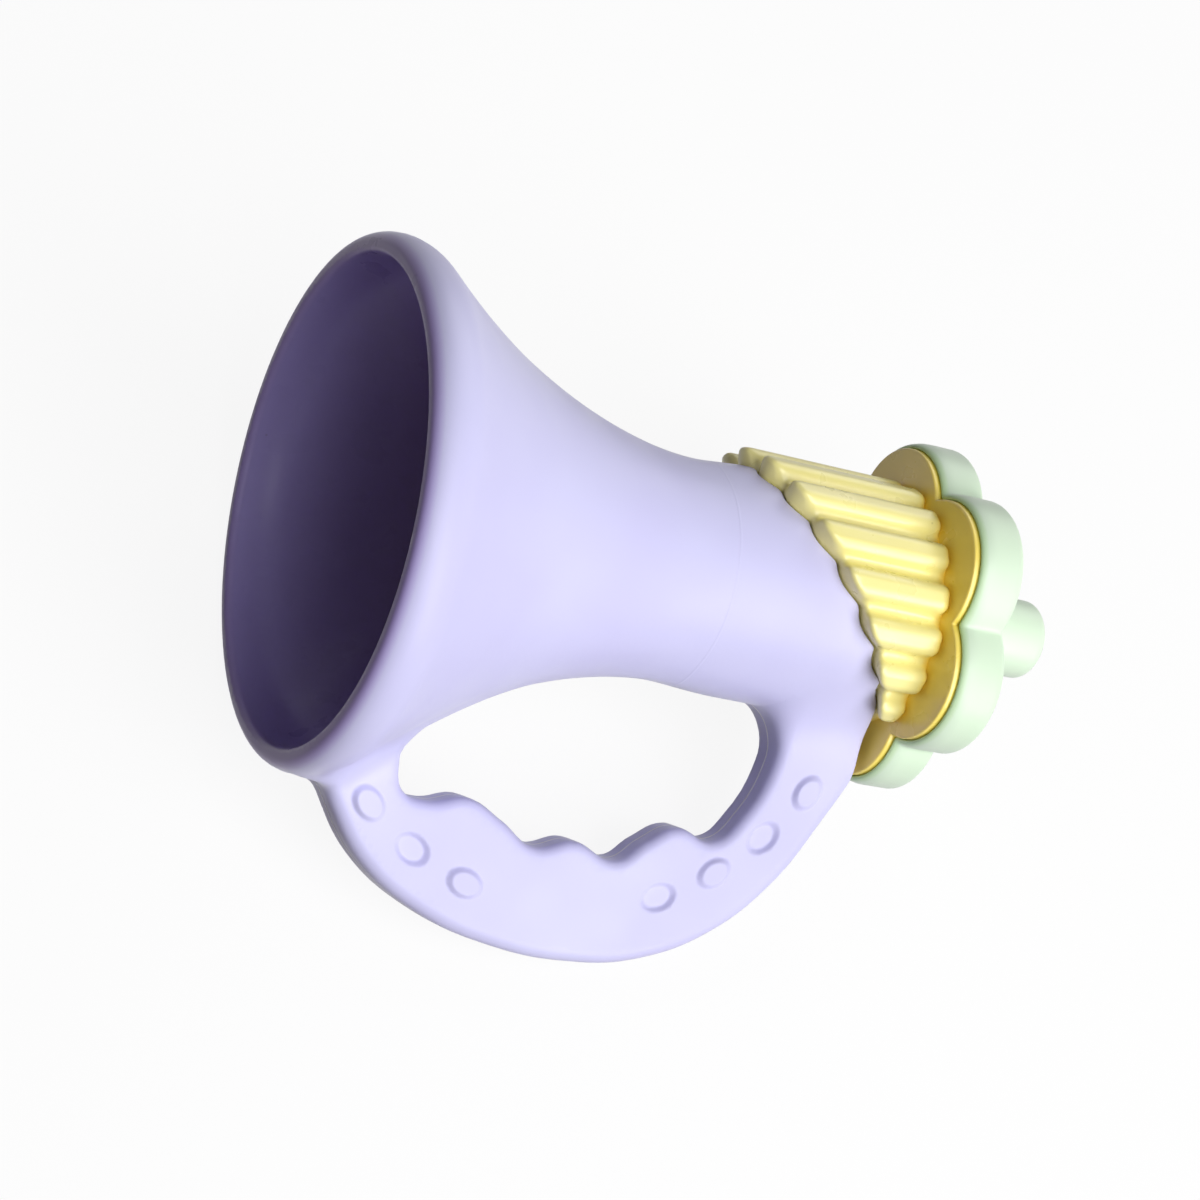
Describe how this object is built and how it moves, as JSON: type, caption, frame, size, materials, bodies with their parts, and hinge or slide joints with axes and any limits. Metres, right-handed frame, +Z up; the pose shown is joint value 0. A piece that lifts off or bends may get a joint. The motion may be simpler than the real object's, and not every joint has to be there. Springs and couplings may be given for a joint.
{
  "type": "toy trumpet",
  "caption": "Child's plastic toy trumpet with a flared bell, loop handle with finger grooves, ribbed sleeve, flower-shaped mouthpiece cap and a blow and draw reed inside.",
  "frame": {"origin": "on the ground under the middle of the bounding box of the trumpet as it lies", "axes": "+Z up, +X along the length towards the mouthpiece, handle on the -Y side and reaching down to the ground"},
  "size_m": [0.149, 0.107, 0.0902],
  "materials": {
    "lavender_plastic": "satin moulded, pale lavender",
    "yellow_plastic": "satin moulded, pale yellow",
    "green_plastic": "satin moulded, pale mint green",
    "white_plastic": "matt moulded, off white",
    "brass": "plain stamped",
    "reed_bronze": "thin rolled spring strip"
  },
  "bodies": {
    "trumpet": {"horn_body": "lavender_plastic", "ribbed_sleeve": "yellow_plastic", "flower_cap": "green_plastic", "reed_holder": "white_plastic", "reed_plate": "brass", "blow_reed_clamp": "brass", "draw_reed_clamp": "brass", "blow_reed_rivet": "brass", "draw_reed_rivet": "brass"},
    "blow_reed": {"blow_reed": "reed_bronze"},
    "draw_reed": {"draw_reed": "reed_bronze"}
  },
  "joints": [
    {"name": "blow_reed_bend", "type": "hinge", "parent": "trumpet", "child": "blow_reed", "pos_m": [0.03406, 0.0028, 0.03277], "axis": [0.0988, -0.5069, 0.8564], "range_deg": [-4, 4], "stiffness_Nm_per_rad": 0.002},
    {"name": "draw_reed_bend", "type": "hinge", "parent": "trumpet", "child": "draw_reed", "pos_m": [0.03223, 0.01404, 0.03519], "axis": [0.0988, -0.5069, 0.8564], "range_deg": [-4, 4], "stiffness_Nm_per_rad": 0.002}
  ]
}
